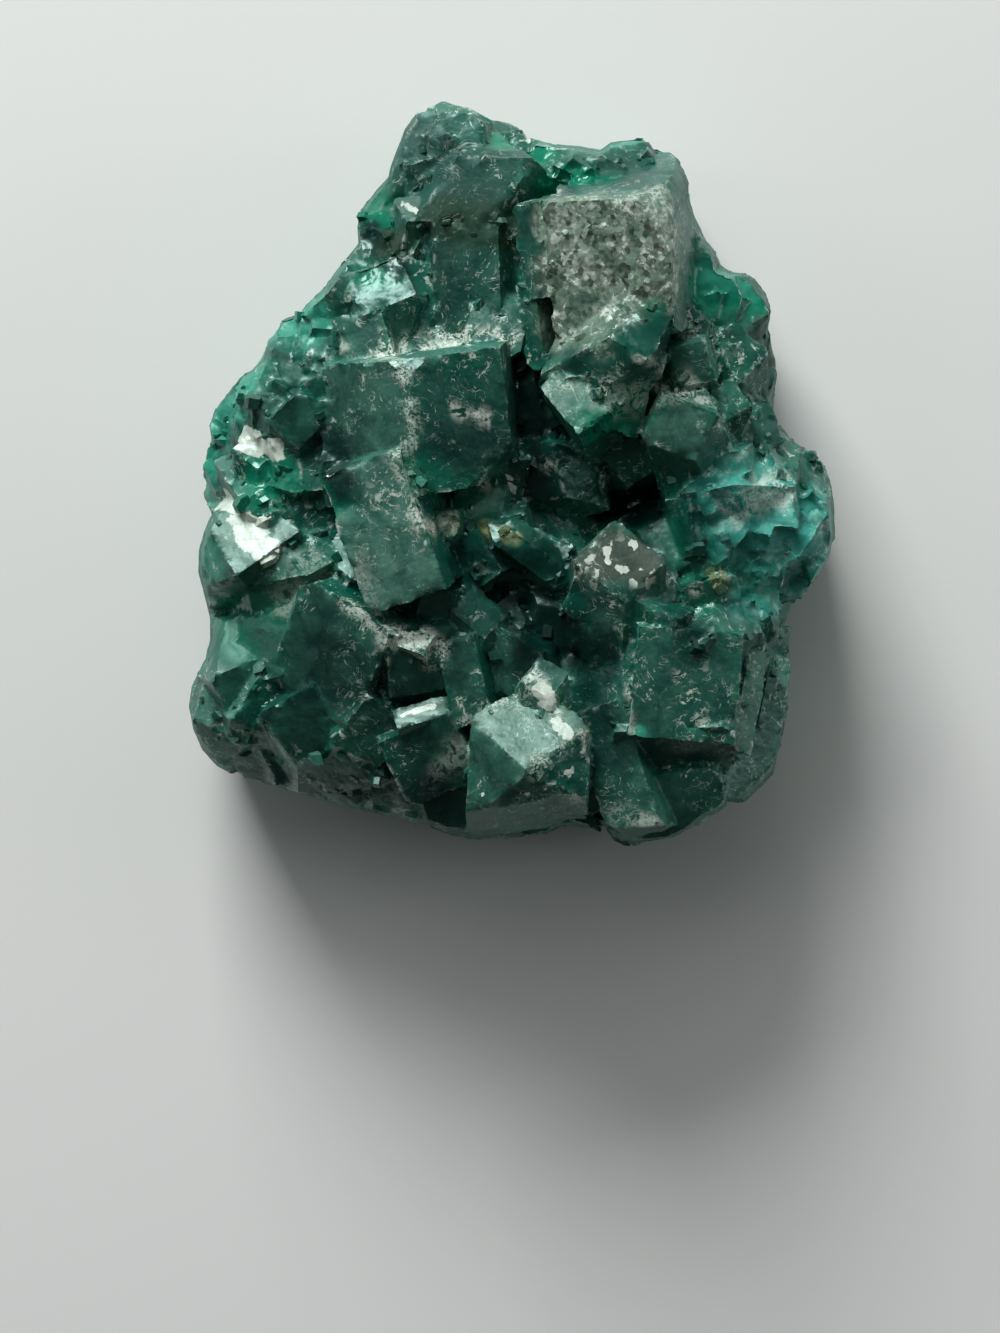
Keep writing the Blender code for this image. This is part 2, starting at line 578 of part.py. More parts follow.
def strew(obj, collection, material, rng):
    """Small crystals that stand on the surface of obj, each along a leaning normal."""
    bm = bmesh.new()
    bm.from_mesh(obj.data)
    surface = BVHTree.FromBMesh(bm)
    for patch in DRUSES:
        for index in range(patch.count):
            angle = rng.uniform(0, 360)
            reach = patch.reach * math.sqrt(rng.random())
            x = patch.x + reach * math.cos(math.radians(angle))
            y = patch.y + reach * math.sin(math.radians(angle))
            start = true_place(x, y, RIM_Z) + Vector((0, 0, ABOVE_ALL))
            hit = surface.ray_cast(start * MM, Vector((0, 0, -1)))[0]
            if hit is None:
                continue
            side = patch.side * rng.uniform(*DRUSE_SIZES)
            small = Crystal(
                f"{patch.name}_{index}",
                x,
                y,
                hit.z / MM + DRUSE_LIFT * side,
                rng.uniform(*DRUSE_LEANS),
                rng.uniform(0, 360),
                rng.uniform(0, 360),
                side,
                DRUSE_LENGTH * side,
            )
            add_object(small.name, crystal_solid(small, rng), collection, material, True)
    bm.free()


def green_material():
    material = bpy.data.materials.new("dioptase")
    material.use_nodes = True
    shader = material.node_tree.nodes["Principled BSDF"]
    shader.inputs["Base Color"].default_value = (0.010, 0.105, 0.065, 1)
    shader.inputs["Roughness"].default_value = 0.25
    shader.inputs["IOR"].default_value = 1.67
    return material


def outer_skin(bm):
    """Deletes every closed shell but the widest, such as the skin of a sealed hollow."""
    unseen = set(bm.faces)
    shells = []
    while unseen:
        shell = [unseen.pop()]
        for face in shell:
            for edge in face.edges:
                for other in edge.link_faces:
                    if other in unseen:
                        unseen.discard(other)
                        shell.append(other)
        shells.append(shell)
    shells.sort(key=width_of)
    inner = [face for shell in shells[:-1] for face in shell]
    bmesh.ops.delete(bm, geom=inner, context="FACES")


def width_of(shell):
    xs = [vert.co.x for face in shell for vert in face.verts]
    return max(xs) - min(xs)


def settle(obj):
    """Keeps the outer skin and sets the lowest middle of the box at the origin."""
    bm = bmesh.new()
    bm.from_mesh(obj.data)
    outer_skin(bm)
    xs = [vert.co.x for vert in bm.verts]
    ys = [vert.co.y for vert in bm.verts]
    shift = Vector((-(min(xs) + max(xs)) / 2, -(min(ys) + max(ys)) / 2, 0))
    bmesh.ops.translate(bm, vec=shift, verts=bm.verts)
    bm.to_mesh(obj.data)
    bm.free()
    print("box middle was at", [round(-value / MM, 3) for value in shift])


def main():
    clear_scene()
    rng = random.Random(SEED)
    shown = new_collection("dioptase_cluster_parts", False)
    pits = new_collection("pit_cutters", True)
    grown = new_collection("grown_crystals", True)
    druse = new_collection("small_crystals", True)
    material = green_material()
    envelope = new_collection("envelope_cutter", True)
    core = loft_solid(CORE_RINGS, CORE_TOP, True, rng)
    cluster = add_object("dioptase_cluster", core, shown, material, False)
    for spec in PITS:
        add_object(spec.name, pit_solid(spec, rng), pits, material, True)
    join(cluster, "DIFFERENCE", pits)
    for spec in fillers(rng):
        add_object(spec.name, crystal_solid(spec, rng), grown, material, True)
    side_rng = random.Random(SEED)
    for spec in side_crystals(side_rng):
        add_object(spec.name, crystal_solid(spec, side_rng), grown, material, True)
    for spec in PRISMS:
        add_object(spec.name, prism_solid(spec, rng), grown, material, True)
    for spec in BLOCKS:
        add_object(spec.name, block_solid(spec, rng), grown, material, True)
    for spec in CRYSTALS:
        add_object(spec.name, crystal_solid(spec, rng), grown, material, True)
    join(cluster, "UNION", grown)
    strew(cluster, druse, material, rng)
    join(cluster, "UNION", druse)
    skin = loft_solid(ENVELOPE_RINGS, ENVELOPE_TOP, False, rng)
    add_object("envelope", skin, envelope, material, True)
    join(cluster, "INTERSECT", envelope)
    settle(cluster)


main()
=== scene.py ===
"""Looks of the dioptase cluster: worn crystal faces, sugary crust, small crystals and soft studio light.

Shapes are worked out in millimetres and scaled to metres at the end.
"""
import itertools
import math
from typing import NamedTuple

import bmesh
import bpy
import numpy as np
from mathutils import Matrix, Vector
from mathutils.bvhtree import BVHTree
from mathutils.kdtree import KDTree

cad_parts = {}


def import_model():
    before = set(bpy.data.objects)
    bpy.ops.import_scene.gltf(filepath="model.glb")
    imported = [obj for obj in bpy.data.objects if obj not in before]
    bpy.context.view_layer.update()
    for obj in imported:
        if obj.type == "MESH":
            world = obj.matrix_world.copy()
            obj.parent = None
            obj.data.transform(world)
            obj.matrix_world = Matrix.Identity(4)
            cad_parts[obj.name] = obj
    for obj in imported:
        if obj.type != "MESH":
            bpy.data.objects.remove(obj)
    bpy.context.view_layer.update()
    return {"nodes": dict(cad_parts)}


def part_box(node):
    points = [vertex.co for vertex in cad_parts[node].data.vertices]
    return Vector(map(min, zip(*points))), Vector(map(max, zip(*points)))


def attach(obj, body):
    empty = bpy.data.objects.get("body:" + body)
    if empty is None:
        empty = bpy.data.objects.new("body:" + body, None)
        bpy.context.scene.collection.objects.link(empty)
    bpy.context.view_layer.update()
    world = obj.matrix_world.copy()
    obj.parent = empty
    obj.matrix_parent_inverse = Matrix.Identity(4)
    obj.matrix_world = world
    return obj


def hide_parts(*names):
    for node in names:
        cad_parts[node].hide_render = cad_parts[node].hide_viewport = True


MM = 0.001
SEED = 11
NODE = "dioptase_cluster"

# Camera of the photograph: image size and focal length in pixels, eye in millimetres.
IMAGE_WIDTH = 1000
IMAGE_HEIGHT = 1333
FOCAL_PX = 4100.0
SENSOR_MM = 36.0
EYE = (-0.452, -7.725, 168.5)

# Fine mesh of the faces.
VOXEL = 0.105
SNAP = 0.085
FACE_TRIANGLES = 195_000
WELD = 0.002
LEAST_SHELL = 40
SHARP_ANGLE = 34
EDGE_STEP = 0.08
EDGE_ANGLE = 22
SAME_PLANE = 1.5

# Small crystals that stand on the faces.
GRAIN_COUNT = 300
GRAIN_SIZES = (0.12, 0.34)
GRAIN_FORMS = 8
RHOMB_ANGLE = 50.96


class Spot(NamedTuple):
    """A region along a line between two photograph pixels, laid on the faces that are seen there."""

    kind: str
    x0: float
    y0: float
    x1: float
    y1: float
    radius: float
    strength: float


class Face(NamedTuple):
    """The look of the crystal face that is seen at a photograph pixel.

    veil is how frosted it is, with a painted grey sheen, bright how much light its green lets through, and glint how
    much painted silvery highlight it gets, with lower roughness.
    """

    x: float
    y: float
    veil: float
    bright: float
    glint: float = 0.0


KINDS = (
    "green", "deep", "mint", "sugar", "spangle", "teal", "painted_shade", "olive", "frost", "rime", "painted_glint", "dull", "crust",
)

SPOTS = (
    # Green spots: the stone's own clear emerald, brightened as a painted glow where light would come through thin
    # stone.
    Spot("green", 500, 140, 540, 150, 1.0, 1.0),
    Spot("green", 545, 185, 605, 178, 0.9, 1.0),
    Spot("green", 622, 325, 668, 322, 1.5, 1.0),
    Spot("green", 705, 288, 752, 288, 1.5, 1.0),
    Spot("green", 372, 215, 385, 265, 1.5, 1.0),
    Spot("green", 260, 480, 325, 490, 1.6, 0.9),
    Spot("green", 600, 430, 640, 390, 1.4, 1.0),
    Spot("green", 235, 630, 245, 650, 1.0, 0.6),
    Spot("green", 420, 470, 470, 500, 1.2, 0.5),
    Spot("green", 660, 480, 700, 600, 1.2, 0.4),
    Spot("deep", 325, 440, 340, 480, 1.2, 1.0),
    Spot("deep", 370, 235, 400, 262, 1.1, 1.0),
    Spot("deep", 540, 260, 552, 350, 0.5, 1.0),
    Spot("deep", 622, 322, 665, 330, 1.6, 0.8),
    Spot("deep", 440, 440, 500, 450, 1.2, 0.6),
    # Deep colour along the bottom edge: painted shade where the cluster's shadow falls.
    Spot("deep", 270, 780, 420, 790, 1.5, 0.8),
    Spot("deep", 210, 760, 260, 790, 1.4, 0.3),
    Spot("deep", 300, 660, 400, 690, 2.0, 0.5),
    Spot("deep", 420, 600, 560, 640, 2.0, 0.5),
    Spot("deep", 600, 755, 730, 752, 0.8, 0.8),
    Spot("deep", 405, 130, 470, 190, 2.2, 0.6),
    Spot("deep", 600, 178, 660, 190, 0.8, 0.4),
    Spot("deep", 440, 240, 450, 300, 1.0, 0.6),
    Spot("dull", 225, 640, 255, 660, 1.6, 1.0),
    Spot("dull", 395, 195, 415, 215, 1.6, 1.0),
    Spot("dull", 400, 150, 470, 180, 2.6, 1.0),
    Spot("dull", 230, 350, 260, 400, 1.6, 0.6),
    Spot("dull", 620, 165, 690, 170, 1.2, 0.7),
    Spot("dull", 205, 400, 240, 380, 1.5, 0.8),
    # Painted glints: white highlights laid where faces catch the key light.
    Spot("painted_glint", 243, 440, 272, 448, 0.75, 1.0),
    Spot("painted_glint", 228, 500, 262, 545, 1.0, 0.75),
    Spot("painted_glint", 540, 690, 566, 735, 0.55, 0.9),
    Spot("painted_glint", 402, 716, 434, 706, 0.3, 0.8),
    Spot("painted_glint", 484, 795, 512, 811, 0.12, 1.0),
    Spot("painted_glint", 526, 794, 574, 769, 0.12, 1.0),
    Spot("painted_glint", 508, 478, 514, 492, 0.2, 1.0),
    Spot("painted_glint", 404, 204, 416, 212, 0.25, 0.6),
    # Mint spots: pale frosted green, brightened as a painted glow at the thin rims.
    Spot("mint", 712, 276, 748, 282, 1.0, 0.8),
    Spot("mint", 745, 582, 780, 582, 1.1, 0.6),
    Spot("green", 230, 600, 275, 618, 1.2, 0.5),
    Spot("mint", 612, 146, 682, 146, 1.0, 0.6),
    Spot("mint", 268, 345, 312, 315, 1.4, 1.0),
    Spot("mint", 222, 430, 248, 380, 1.4, 0.9),
    Spot("mint", 208, 510, 215, 430, 1.3, 1.0),
    Spot("mint", 782, 664, 786, 674, 0.6, 1.0),
    Spot("mint", 685, 160, 700, 205, 0.9, 0.8),
    Spot("mint", 208, 560, 225, 610, 1.2, 0.6),
    Spot("sugar", 560, 222, 655, 225, 1.9, 1.0),
    Spot("sugar", 565, 270, 655, 275, 1.9, 1.0),
    Spot("sugar", 560, 320, 600, 322, 1.5, 0.8),
    Spot("spangle", 595, 555, 640, 560, 1.5, 1.0),
    Spot("teal", 750, 500, 800, 540, 2.8, 1.0),
    Spot("teal", 745, 585, 785, 585, 1.6, 1.0),
    # Painted shade: near black over the hollows, the crevices between crystals and the shaded bottom edge.
    Spot("painted_shade", 615, 500, 650, 512, 1.6, 1.0),
    Spot("painted_shade", 530, 370, 540, 490, 1.3, 1.0),
    Spot("painted_shade", 545, 620, 600, 660, 1.6, 0.8),
    Spot("painted_shade", 470, 560, 560, 560, 1.2, 0.7),
    Spot("painted_shade", 515, 590, 530, 660, 1.0, 0.8),
    Spot("painted_shade", 690, 520, 690, 640, 1.1, 0.6),
    Spot("painted_shade", 330, 660, 400, 700, 1.8, 0.4),
    Spot("painted_shade", 450, 800, 560, 830, 2.0, 0.6),
    Spot("painted_shade", 590, 690, 600, 720, 1.0, 0.7),
    Spot("olive", 440, 220, 510, 230, 1.4, 0.8),
    Spot("olive", 388, 245, 402, 240, 0.9, 0.7),
    Spot("crust", 485, 530, 515, 538, 0.45, 1.0),
    Spot("crust", 432, 525, 452, 525, 0.4, 0.8),
    Spot("crust", 712, 576, 720, 582, 0.4, 0.8),
    Spot("rime", 372, 350, 404, 355, 1.0, 1.0),
    Spot("rime", 404, 352, 500, 336, 1.0, 1.0),
    Spot("rime", 400, 360, 402, 470, 0.8, 0.8),
    Spot("rime", 366, 441, 425, 525, 0.8, 1.0),
    Spot("rime", 600, 385, 690, 392, 1.0, 0.7),
    Spot("rime", 560, 385, 610, 440, 0.8, 0.5),
    Spot("rime", 355, 610, 430, 650, 1.0, 0.8),
    Spot("rime", 535, 200, 660, 192, 0.9, 0.6),
    Spot("rime", 655, 200, 690, 330, 0.9, 0.5),
    Spot("rime", 470, 722, 533, 685, 0.8, 0.7),
    Spot("rime", 582, 742, 535, 763, 0.8, 0.6),
    Spot("frost", 372, 356, 410, 360, 0.4, 0.7),
    Spot("frost", 404, 350, 498, 334, 0.35, 0.9),
    Spot("frost", 342, 347, 404, 351, 0.3, 0.8),
    Spot("frost", 735, 505, 790, 490, 1.1, 0.7),
    Spot("frost", 388, 640, 428, 640, 0.7, 0.8),
    Spot("frost", 358, 612, 398, 640, 0.25, 0.9),
    Spot("frost", 425, 525, 450, 520, 0.6, 0.8),
    Spot("frost", 605, 395, 640, 400, 0.9, 0.6),
    Spot("frost", 655, 385, 690, 390, 0.4, 0.8),
    Spot("frost", 530, 670, 556, 715, 0.5, 0.9),
    Spot("frost", 400, 800, 460, 750, 0.9, 0.4),
    Spot("frost", 630, 680, 630, 730, 0.3, 0.7),
    Spot("frost", 350, 560, 365, 590, 0.8, 0.3),
    Spot("frost", 285, 600, 310, 560, 0.9, 0.4),
    Spot("frost", 560, 215, 600, 300, 0.8, 0.4),
    Spot("frost", 615, 815, 658, 822, 0.4, 0.5),
    Spot("frost", 546, 464, 549, 467, 0.4, 0.9),
    Spot("frost", 602, 479, 605, 482, 0.4, 0.9),
    Spot("frost", 481, 482, 484, 485, 0.35, 0.9),
    Spot("frost", 574, 799, 577, 802, 0.35, 0.8),
    Spot("frost", 694, 589, 697, 592, 0.35, 0.9),
    Spot("frost", 668, 579, 672, 581, 0.4, 0.8),
    Spot("frost", 455, 408, 462, 412, 0.35, 1.0),
    Spot("frost", 478, 412, 486, 418, 0.3, 1.0),
    Spot("frost", 640, 360, 690, 380, 0.5, 0.6),
    Spot("frost", 700, 400, 720, 415, 0.5, 0.6),
    Spot("mint", 638, 730, 643, 736, 0.4, 1.0),
)

# Listed faces: veil lays frost with a painted grey sheen, glint a painted silvery highlight.
FACES = (
    Face(370, 530, 1.00, 0.4),
    Face(285, 365, 1.00, 1.0),
    Face(265, 415, 0.45, 0.4),
    Face(450, 400, 0.20, 0.5),
    Face(360, 400, 0.65, 0.5),
    Face(620, 250, 0.80, 0.5),
    Face(630, 180, 0.10, 0.4),
    Face(700, 240, 0.55, 0.6),
    Face(540, 240, 0.15, 0.5),
    Face(680, 430, 0.75, 0.4),
    Face(680, 690, 0.40, 0.5),
    Face(615, 770, 0.45, 0.2),
    Face(690, 800, 0.35, 0.5),
    Face(575, 400, 0.90, 0.5, 0.1),
    Face(700, 355, 0.40, 0.4),
    Face(435, 150, 0.15, 0.4),
    Face(220, 710, 0.90, 0.8),
    Face(205, 700, 1.00, 0.9),
    Face(290, 570, 0.50, 0.7),
    Face(750, 700, 0.75, 0.5),
    Face(600, 600, 0.55, 0.2),
    Face(455, 260, 0.40, 0.4),
    Face(465, 680, 0.35, 0.2),
    Face(300, 690, 0.10, 0.2),
    Face(250, 530, 0.80, 0.6, 0.3),
    Face(415, 713, 0.50, 0.4, 0.4),
    Face(525, 725, 0.75, 0.5, 0.25),
    Face(407, 207, 0.60, 0.5, 0.2),
    Face(615, 560, 0.20, 0.0),
    Face(640, 320, 0.05, 1.0),
    Face(650, 330, 0.10, 1.0),
)


def to_camera(px, py):
    """The direction of the sight line through a pixel of the photograph."""
    right = (px - IMAGE_WIDTH / 2) / FOCAL_PX
    up = (IMAGE_HEIGHT / 2 - py) / FOCAL_PX
    return Vector((right, up, -1)).normalized()


def hashed(cells, salt):
    """Numbers from 0 to 1, one for each whole-numbered cell."""
    x = cells.astype(np.int64)
    mixed = (x[:, 0] * 73856093) ^ (x[:, 1] * 19349663) ^ (x[:, 2] * 83492791) ^ (salt * 2654435761)
    mixed = (mixed ^ (mixed >> 13)) * 1274126177
    mixed = mixed & 0xFFFFFFFF
    mixed = mixed ^ (mixed >> 16)
    return (mixed & 0xFFFFFF) / 0x1000000


def smooth_noise(points, scale, salt):
    """Noise from -1 to 1 with features of about scale."""
    place = points / scale
    base = np.floor(place).astype(np.int64)
    part = place - base
    part = part * part * (3 - 2 * part)
    total = np.zeros(len(points))
    for corner in itertools.product((0, 1), repeat=3):
        step = np.array(corner)
        weight = np.prod(np.where(step == 1, part, 1 - part), axis=1)
        total += weight * hashed(base + step, salt)
    return 2 * total - 1


def nearest_seeds(points, scale, salt):
    """For each point the nearest seed of a jittered grid: the offset from it in cells, and its cell."""
    place = points / scale
    base = np.floor(place).astype(np.int64)
    nearest = np.full(len(points), np.inf)
    offset = np.zeros((len(points), 3))
    owner = np.zeros((len(points), 3), np.int64)
    for step in itertools.product((-1, 0, 1), repeat=3):
        cell = base + np.array(step)
        seed = cell + np.stack([hashed(cell, salt + axis) for axis in range(3)], axis=1)
        gap = place - seed
        distance = (gap * gap).sum(axis=1)
        closer = distance < nearest
        nearest[closer] = distance[closer]
        offset[closer] = gap[closer]
        owner[closer] = cell[closer]
    return offset, owner


def unit(vectors):
    return vectors / np.maximum(np.linalg.norm(vectors, axis=1, keepdims=True), 1e-9)


def random_directions(owner, salt):
    """A random unit vector for each cell."""
    return unit(np.stack([hashed(owner, salt + axis) for axis in range(3)], axis=1) - 0.5)


def small_facets(points, scale, salt):
    """Relief of tiny crystals: each seed has a cube of its own turn, seen as its corner. About 0 to 1."""
    offset, owner = nearest_seeds(points, scale, salt)
    first = random_directions(owner, salt + 11)
    second = unit(np.cross(first, random_directions(owner, salt + 21)))
    third = np.cross(first, second)
    reach = np.max([np.abs((offset * axis).sum(axis=1)) for axis in (first, second, third)], axis=0)
    return np.clip(1 - 1.5 * reach, 0, 1)


def coordinates(mesh):
    places = np.empty(len(mesh.vertices) * 3, np.float64)
    mesh.vertices.foreach_get("co", places)
    return places.reshape(-1, 3)


def normals_of(mesh):
    normals = np.empty(len(mesh.vertices) * 3, np.float32)
    mesh.vertex_normals.foreach_get("vector", normals)
    return normals.reshape(-1, 3).astype(np.float64)


def set_coordinates(mesh, places):
    mesh.vertices.foreach_set("co", places.astype(np.float32).ravel())
    mesh.update()


def evaluated(mesh, name, **settings):
    """The mesh with one modifier applied."""
    obj = bpy.data.objects.new("work", mesh)
    bpy.context.scene.collection.objects.link(obj)
    modifier = obj.modifiers.new(name.lower(), name)
    for key, value in settings.items():
        setattr(modifier, key, value)
    graph = bpy.context.evaluated_depsgraph_get()
    made = bpy.data.meshes.new_from_object(obj.evaluated_get(graph))
    bpy.data.objects.remove(obj, do_unlink=True)
    return made


class Source:
    """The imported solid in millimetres, with what is measured on it."""

    def __init__(self, node):
        self.mesh = node.data.copy()
        self.mesh.transform(Matrix.Scale(1 / MM, 4))
        bm = bmesh.new()
        bm.from_mesh(self.mesh)
        bmesh.ops.remove_doubles(bm, verts=bm.verts, dist=1e-4)
        bm.faces.ensure_lookup_table()
        self.tree = BVHTree.FromBMesh(bm)
        self.face_of = self.number_planes(bm)
        self.ridges = self.edge_points(bm, True)
        self.seams = self.edge_points(bm, False)
        bm.free()

    def number_planes(self, bm):
        """One number for each crystal face, shared by its triangles."""
        flat = math.radians(SAME_PLANE)
        number = [-1] * len(bm.faces)
        count = 0
        for face in bm.faces:
            if number[face.index] >= 0:
                continue
            number[face.index] = count
            queue = [face]
            for current in queue:
                for edge in current.edges:
                    for other in edge.link_faces:
                        if number[other.index] < 0 and other.normal.angle(face.normal, 0) < flat:
                            number[other.index] = count
                            queue.append(other)
            count += 1
        return np.array(number)

    def edge_points(self, bm, convex):
        """Points every EDGE_STEP along the ridges between faces, or along the seams."""
        sharp = math.radians(EDGE_ANGLE)
        places = []
        for edge in bm.edges:
            if len(edge.link_faces) != 2 or edge.is_convex != convex:
                continue
            if edge.calc_face_angle(0) < sharp:
                continue
            start, end = edge.verts[0].co, edge.verts[1].co
            count = max(1, int((end - start).length / EDGE_STEP))
            places += [start.lerp(end, i / count) for i in range(count + 1)]
        tree = KDTree(len(places))
        for index, place in enumerate(places):
            tree.insert(place, index)
        tree.balance()
        return tree

    def seen_at(self, px, py):
        """Where the sight line through a pixel first meets the solid, and the number of that face."""
        direction = to_camera(px, py)
        place, _, index, _ = self.tree.ray_cast(Vector(EYE), direction)
        if place is None:
            middle = Vector(EYE) + direction * (EYE[2] - 5.0) / -direction.z
            place, _, index, _ = self.tree.find_nearest(middle)
        return np.array(place), self.face_of[index]


def distances(tree, points, most):
    return np.array([min(tree.find(point)[2], most) for point in points])


def region_weights(source, points):
    """How far each point belongs to each kind of region, with ragged borders."""
    ragged = 0.6 * smooth_noise(points, 0.8, 301) + 0.4 * smooth_noise(points, 0.3, 302)
    weights = {kind: np.zeros(len(points)) for kind in KINDS}
    for spot in SPOTS:
        start = source.seen_at(spot.x0, spot.y0)[0]
        line = source.seen_at(spot.x1, spot.y1)[0] - start
        along = np.clip(((points - start) @ line) / max(line @ line, 1e-9), 0, 1)
        gap = np.linalg.norm(points - start - along[:, None] * line, axis=1)
        level = np.clip(1.6 - 1.6 * gap / (spot.radius * (1 + 0.6 * ragged)), 0, 1)
        level = level * level * (3 - 2 * level) * spot.strength
        weights[spot.kind] = np.maximum(weights[spot.kind], level)
    return weights


def face_looks(source):
    """Veil, brightness and glint of every crystal face: some are stated, the others drawn."""
    rng = np.random.default_rng(SEED)
    count = source.face_of.max() + 1
    looks = np.stack([rng.uniform(0.0, 0.55, count), rng.uniform(0.0, 1.0, count), np.zeros(count)], axis=1)
    for face in FACES:
        looks[source.seen_at(face.x, face.y)[1]] = (face.veil, face.bright, face.glint)
    return looks


def snapped(source, points):
    """Points put back on the solid's faces, and on its ridges where one is near."""
    places = np.empty_like(points)
    for index, point in enumerate(points):
        ridge, _, gap = source.ridges.find(point)
        places[index] = ridge if gap < SNAP else source.tree.find_nearest(point)[0]
    return places


def clean(mesh):
    """Takes doubled points, slivers and stray bits out of the mesh."""
    bm = bmesh.new()
    bm.from_mesh(mesh)
    bmesh.ops.remove_doubles(bm, verts=bm.verts, dist=WELD)
    bmesh.ops.dissolve_degenerate(bm, dist=WELD, edges=bm.edges)
    stray = []
    for face in bm.faces:
        if face.tag:
            continue
        face.tag = True
        shell = [face]
        for current in shell:
            for edge in current.edges:
                for other in edge.link_faces:
                    if not other.tag:
                        other.tag = True
                        shell.append(other)
        if len(shell) < LEAST_SHELL:
            stray += shell
    print("stray faces", len(stray))
    bmesh.ops.delete(bm, geom=stray, context="FACES")
    bm.to_mesh(mesh)
    bm.free()


def face_mesh(source, low, high):
    """The faces with waves, growth steps, chipped edges and crust."""
    mesh = evaluated(source.mesh, "REMESH", mode="VOXEL", voxel_size=VOXEL)
    normals = normals_of(mesh)
    points = snapped(source, coordinates(mesh))
    weights = region_weights(source, points)
    ridge = distances(source.ridges, points, 2.0)
    near_ridge = np.exp(-ridge / 0.15)
    rough = np.clip(0.1 + 0.5 * weights["teal"] + weights["crust"] + 0.35 * weights["mint"], 0, 1)
    lumpy = np.clip(weights["teal"] + weights["green"] + 0.5 * weights["mint"], 0, 1)
    patchy = np.clip(0.5 + 1.2 * smooth_noise(points, 2.6, 41), 0, 1)
    waves = 0.03 * smooth_noise(points, 2.4, 51) + 0.012 * smooth_noise(points, 0.8, 52)
    waves += lumpy * (0.12 * smooth_noise(points, 1.1, 53) + 0.06 * smooth_noise(points, 0.45, 54) - 0.08)
    steps = smooth_noise(points * np.array((1.0, 1.0, 1.6)), 1.7, 61) * 6
    steps = (np.floor(steps) + np.clip((steps - np.floor(steps)) * 6, 0, 1)) / 6
    grains = (small_facets(points, 0.75, 71) - 0.3) * rough * 0.3
    sugared = np.clip(weights["sugar"] + 0.3 * patchy * rough, 0, 1)
    sugar = (small_facets(points, 0.36, 91) - 0.3) * sugared * 0.06
    chips = np.clip(smooth_noise(points, 0.5, 101) * 2.5 - 0.4, 0, 1) * near_ridge
    crumbs = (small_facets(points, 0.28, 131) - 0.35) * np.exp(-ridge / 0.2) * 0.07
    shift = waves + 0.04 * steps * (1 - rough) * (1 - lumpy) + grains + sugar + crumbs - 0.12 * chips
    shift *= np.clip((points[:, 2] - 0.2) / 0.8, 0, 1)
    set_coordinates(mesh, np.clip(points + normals * shift[:, None], low, high))
    triangles = 2 * len(mesh.polygons)
    if triangles > FACE_TRIANGLES:
        ratio = FACE_TRIANGLES / triangles
        mesh = evaluated(mesh, "DECIMATE", decimate_type="COLLAPSE", ratio=ratio)
    set_coordinates(mesh, np.clip(coordinates(mesh), low, high))
    clean(mesh)
    return mesh


def store(mesh, name, values):
    attribute = mesh.attributes.new(name, "FLOAT", "POINT")
    attribute.data.foreach_set("value", np.asarray(values, np.float32))


def add_attributes(mesh, source, looks):
    """What the material reads: closeness to ridges, the look of each face, and the regions."""
    points = coordinates(mesh)
    weights = region_weights(source, points)
    numbers = source.face_of[[source.tree.find_nearest(point)[2] for point in points]]
    store(mesh, "ridge", np.exp(-distances(source.ridges, points, 2.0) / 0.5))
    store(mesh, "steep", np.clip(1 - normals_of(mesh)[:, 2] / 0.5, 0, 1))
    for column, name in enumerate(("veil", "bright", "glint")):
        store(mesh, name, looks[numbers, column])
    for kind in KINDS:
        store(mesh, kind, weights[kind])


def grain_form(rng):
    """A small crystal of unit radius: six prism faces and three faces at each end."""
    slope = math.radians(RHOMB_ANGLE)
    planes = []
    for turn in range(0, 360, 60):
        planes.append((Vector((math.cos(math.radians(turn)), math.sin(math.radians(turn)), 0)), rng.uniform(0.75, 1.0)))
    for first, end in ((30, 1), (90, -1)):
        for turn in range(first, first + 360, 120):
            side = Vector((math.cos(math.radians(turn)), math.sin(math.radians(turn)), 0))
            planes.append((side * math.sin(slope) + Vector((0, 0, end * math.cos(slope))), rng.uniform(0.75, 1.1)))
    bm = bmesh.new()
    bmesh.ops.create_cube(bm, size=6)
    for normal, distance in planes:
        cut = bmesh.ops.bisect_plane(
            bm,
            geom=bm.verts[:] + bm.edges[:] + bm.faces[:],
            plane_co=normal * distance,
            plane_no=normal,
            clear_outer=True,
        )
        rim = [item for item in cut["geom_cut"] if isinstance(item, bmesh.types.BMEdge)]
        if rim:
            bmesh.ops.contextual_create(bm, geom=rim)
    bmesh.ops.triangulate(bm, faces=bm.faces)
    bmesh.ops.recalc_face_normals(bm, faces=bm.faces)
    bm.verts.index_update()
    points = np.array([vert.co[:] for vert in bm.verts])
    faces = np.array([[vert.index for vert in face.verts] for face in bm.faces])
    bm.free()
    return points, faces


def grain_places(mesh, source, rng):
    """Places and normals for the small crystals: crowded in seams and on crust, fewer in the teal, none on steep sides
    or near the base.
    """
    count = len(mesh.polygons)
    centres = np.empty(count * 3)
    normals = np.empty(count * 3, np.float32)
    areas = np.empty(count)
    mesh.polygons.foreach_get("center", centres)
    mesh.polygons.foreach_get("normal", normals)
    mesh.polygons.foreach_get("area", areas)
    centres, normals = centres.reshape(-1, 3), normals.reshape(-1, 3)
    chosen = rng.choice(count, size=min(count, 16 * GRAIN_COUNT), replace=False, p=areas / areas.sum())
    centres, normals = centres[chosen], normals[chosen]
    weights = region_weights(source, centres)
    seam = np.exp(-distances(source.seams, centres, 2.0) / 0.3)
    patchy = np.clip(0.5 + 1.5 * smooth_noise(centres, 2.2, 401), 0.05, 1)
    crowd = 0.5 * seam**2 * patchy + weights["crust"]
    crowd *= 1 - 0.9 * weights["teal"]
    crowd[(centres[:, 2] < 0.9) | (normals[:, 2] < 0.4)] = 0
    picked = rng.choice(len(centres), size=GRAIN_COUNT, replace=False, p=crowd / crowd.sum())
    return centres[picked], normals[picked]


